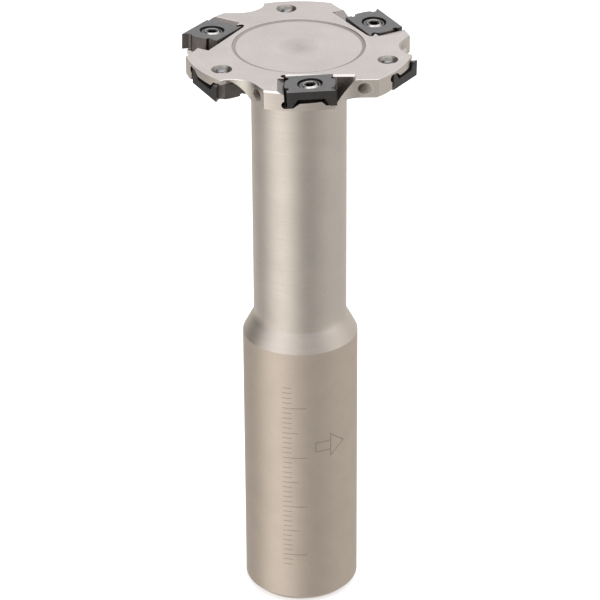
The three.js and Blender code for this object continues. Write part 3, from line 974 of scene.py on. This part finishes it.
body = make_body()
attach(body, "cutter_body")
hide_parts("cutter_body")
for k, joint in enumerate(screw_joints):
    insert = make_insert(k)
    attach(insert, joint["parent"])
    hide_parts(joint["parent"])
    screw = make_screw(k)
    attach(screw, joint["child"])
    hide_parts(joint["child"])


# ---------------------------------------------------------------- floor, light and camera

# The floor's half width and its gap below the tool, in metres, and how much light it gives off
FLOOR_REACH = 3.0
FLOOR_STEPS = 12
FLOOR_GAP = 0.0002
FLOOR_GLOW = 0.45


def make_floor():
    bm = bmesh.new()
    bmesh.ops.create_grid(bm, x_segments=FLOOR_STEPS, y_segments=FLOOR_STEPS, size=FLOOR_REACH)
    floor = mesh_piece("floor", bm)
    floor.location.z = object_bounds()[0][2] - FLOOR_GAP
    made, graph = material("pale_floor", (0.95, 0.95, 0.95))
    finish_material(graph, {"Base Color": (0.95, 0.95, 0.95, 1), "Roughness": 0.9,
                            "Emission Color": (1, 1, 1, 1), "Emission Strength": FLOOR_GLOW})
    floor.data.materials.append(made)
    floor.visible_glossy = False


# Soft boxes round the tool, as (degrees to the right of the front, narrowness, strength, and how
# much strength they gain with height above LOWEST), with one overhead and an even fill
SOFT_BOXES = [
    (-46, 3.6, 0.73, 0.0),
    (88, 2, 0.23, 0.0),
    (82, 8, 0.0, 0.33),
    (-130, 3, 0.08, -0.6),
    (180, 2, 0.30, 0.25),
]
LOWEST = -0.47
OVERHEAD = 1.2
OVERHEAD_NARROWNESS = 4.0
FILL = 0.34
TINT_SPAN = 0.3
WARM_BELOW = (1, 0.98, 0.92, 1)
COOL_ABOVE = (0.985, 1, 1.03, 1)


def make_world():
    """Soft boxes painted on the world by direction; the camera itself sees plain white."""
    world = bpy.data.worlds.new("studio")
    world.use_nodes = True
    bpy.context.scene.world = world
    graph = Graph(world.node_tree)
    direction = graph.node("ShaderNodeTexCoord").outputs["Generated"]
    x, y, z = graph.split(direction)
    level = graph.vector("NORMALIZE", graph.join(x, y, 0.0))
    height = graph.math("MAXIMUM", z, 0.0)
    rise = graph.math("MAXIMUM", graph.math("SUBTRACT", z, LOWEST), 0.0)
    overhead = graph.math("POWER", height, OVERHEAD_NARROWNESS)
    total = graph.math("ADD", graph.math("MULTIPLY", overhead, OVERHEAD), FILL)
    for degrees, narrow, strength, gain in SOFT_BOXES:
        angle = math.radians(degrees)
        facing = graph.vector("DOT_PRODUCT", level, (math.sin(angle), -math.cos(angle), 0))
        lobe = graph.math("POWER", graph.math("MAXIMUM", facing, 0.0), narrow)
        strong = graph.math("ADD", graph.math("MULTIPLY", rise, gain), strength)
        total = graph.math("ADD", total, graph.math("MULTIPLY", lobe, strong))
    camera_ray = graph.node("ShaderNodeLightPath").outputs["Is Camera Ray"]
    tint = graph.mix(graph.spread(z, -TINT_SPAN, TINT_SPAN), WARM_BELOW, COOL_ABOVE)
    lit = graph.node("ShaderNodeBackground", {"Color": tint, "Strength": total})
    plain = graph.node("ShaderNodeBackground", {"Color": (1, 1, 1, 1), "Strength": 1.0})
    mixed = graph.node("ShaderNodeMixShader", {0: camera_ray, 1: lit.outputs[0], 2: plain.outputs[0]})
    graph.node("ShaderNodeOutputWorld", {"Surface": mixed.outputs[0]})


# The camera: the point it looks at and its distance in metres, how far it looks down and its
# slight roll in radians, and its lens in millimetres on a 36 mm sensor
CAMERA_TARGET = Vector((-0.0000127, 0, 0.056058))
CAMERA_DISTANCE = 0.536539
CAMERA_DIP = 0.491377
CAMERA_ROLL = -0.005729
LENS = 185.437
SENSOR_WIDTH = 36


def make_camera():
    data = bpy.data.cameras.new("camera")
    data.lens = LENS
    data.sensor_width = SENSOR_WIDTH
    camera = bpy.data.objects.new("camera", data)
    bpy.context.scene.collection.objects.link(camera)
    ahead = Vector((0, math.cos(CAMERA_DIP), -math.sin(CAMERA_DIP)))
    turn = Matrix.Rotation(math.pi / 2 - CAMERA_DIP, 4, "X") @ Matrix.Rotation(CAMERA_ROLL, 4, "Z")
    camera.matrix_world = Matrix.Translation(CAMERA_TARGET - ahead * CAMERA_DISTANCE) @ turn
    bpy.context.scene.camera = camera


make_floor()
make_world()
make_camera()
bpy.context.scene.view_settings.view_transform = "Standard"
